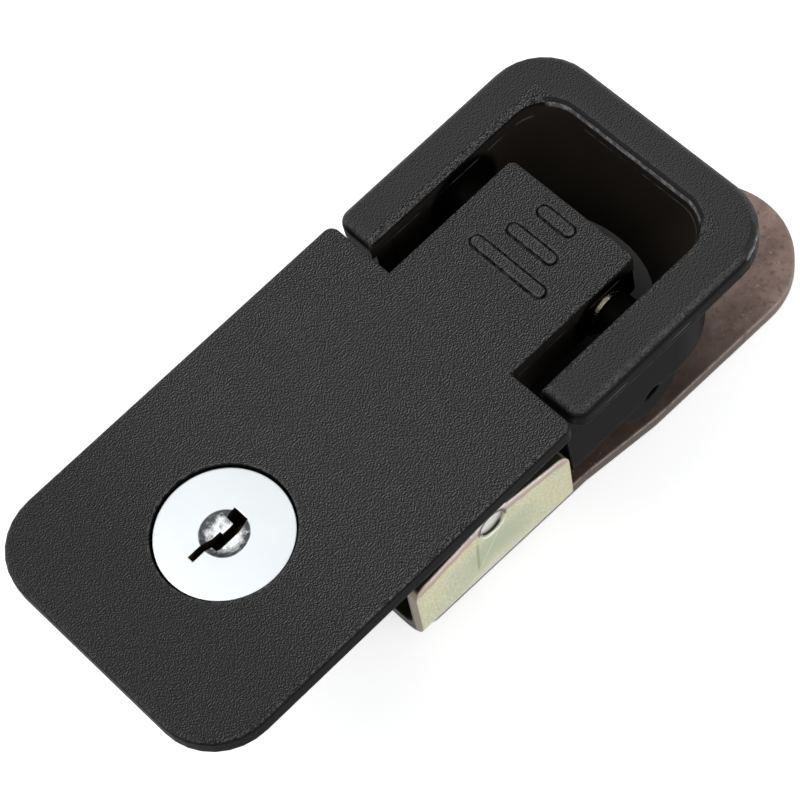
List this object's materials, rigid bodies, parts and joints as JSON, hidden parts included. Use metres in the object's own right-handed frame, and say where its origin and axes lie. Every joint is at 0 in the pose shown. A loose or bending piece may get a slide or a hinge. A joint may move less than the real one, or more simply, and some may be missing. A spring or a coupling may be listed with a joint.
{
  "type": "compression lever latch",
  "caption": "Flush compression lever latch: black ribbed lever hinged in a finger tub, with key lock, rocking zinc pawl carrier and long brown steel pawl behind the panel.",
  "frame": {"origin": "on the panel's front face, under the middle of the lever's hinge pin", "axes": "+X along the latch to the pawl's tip, +Y along the hinge pin, +Z out of the panel to the user"},
  "size_m": [0.1288, 0.05, 0.0375],
  "materials": {
    "black_plastic": "fine grained moulded black nylon",
    "zinc_plate": "zinc plated, pale yellow passivated sheet",
    "brown_steel": "brown oxide coated steel with worn streaks",
    "bright_plate": "bright satin chrome",
    "steel": "bright zinc plated",
    "dark_steel": "blackened",
    "spring_steel": "drawn spring wire",
    "brass": "plain"
  },
  "bodies": {
    "housing": {"housing": "black_plastic", "lever_pin": "steel", "pin_clips": "dark_steel", "lever_spring": "spring_steel"},
    "lever": {"lever": "black_plastic", "pivot_bushes": "brass", "rocker_pin": "steel", "rocker_pin_rings": "dark_steel", "screw_pad": "steel"},
    "pawl": {"pawl_carrier": "zinc_plate", "pawl": "brown_steel", "pawl_rivets": "steel", "grip_nut": "steel", "rocker_spring": "spring_steel"},
    "grip_screw": {"grip_screw": "dark_steel"},
    "lock": {"lock_plug": "bright_plate", "wafers": "brass", "wafer_springs": "spring_steel", "lock_clip": "dark_steel", "lock_cam": "steel", "cam_washer": "steel", "cam_screw": "steel"}
  },
  "joints": [
    {"name": "lever_lift", "type": "hinge", "parent": "housing", "child": "lever", "pos_m": [0, 0, -0.0033], "axis": [0, 1, 0], "range_deg": [0, 60]},
    {"name": "pawl_rock", "type": "hinge", "parent": "lever", "child": "pawl", "pos_m": [-0.0332, 0, -0.013], "axis": [0, 1, 0], "range_deg": [-2.5, 2.5]},
    {"name": "grip_turn", "type": "hinge", "parent": "pawl", "child": "grip_screw", "pos_m": [-0.0429, 0, -0.02063], "axis": [0.0384, 0, 0.9993], "range_deg": [-184, 184]},
    {"name": "lock_turn", "type": "hinge", "parent": "lever", "child": "lock", "pos_m": [-0.0636, 0, 0], "axis": [0, 0, 1], "range_deg": [0, 90]}
  ],
  "couplings": [
    {"joint": "pawl_rock", "follows": "grip_turn", "ratio": -0.01355}
  ]
}
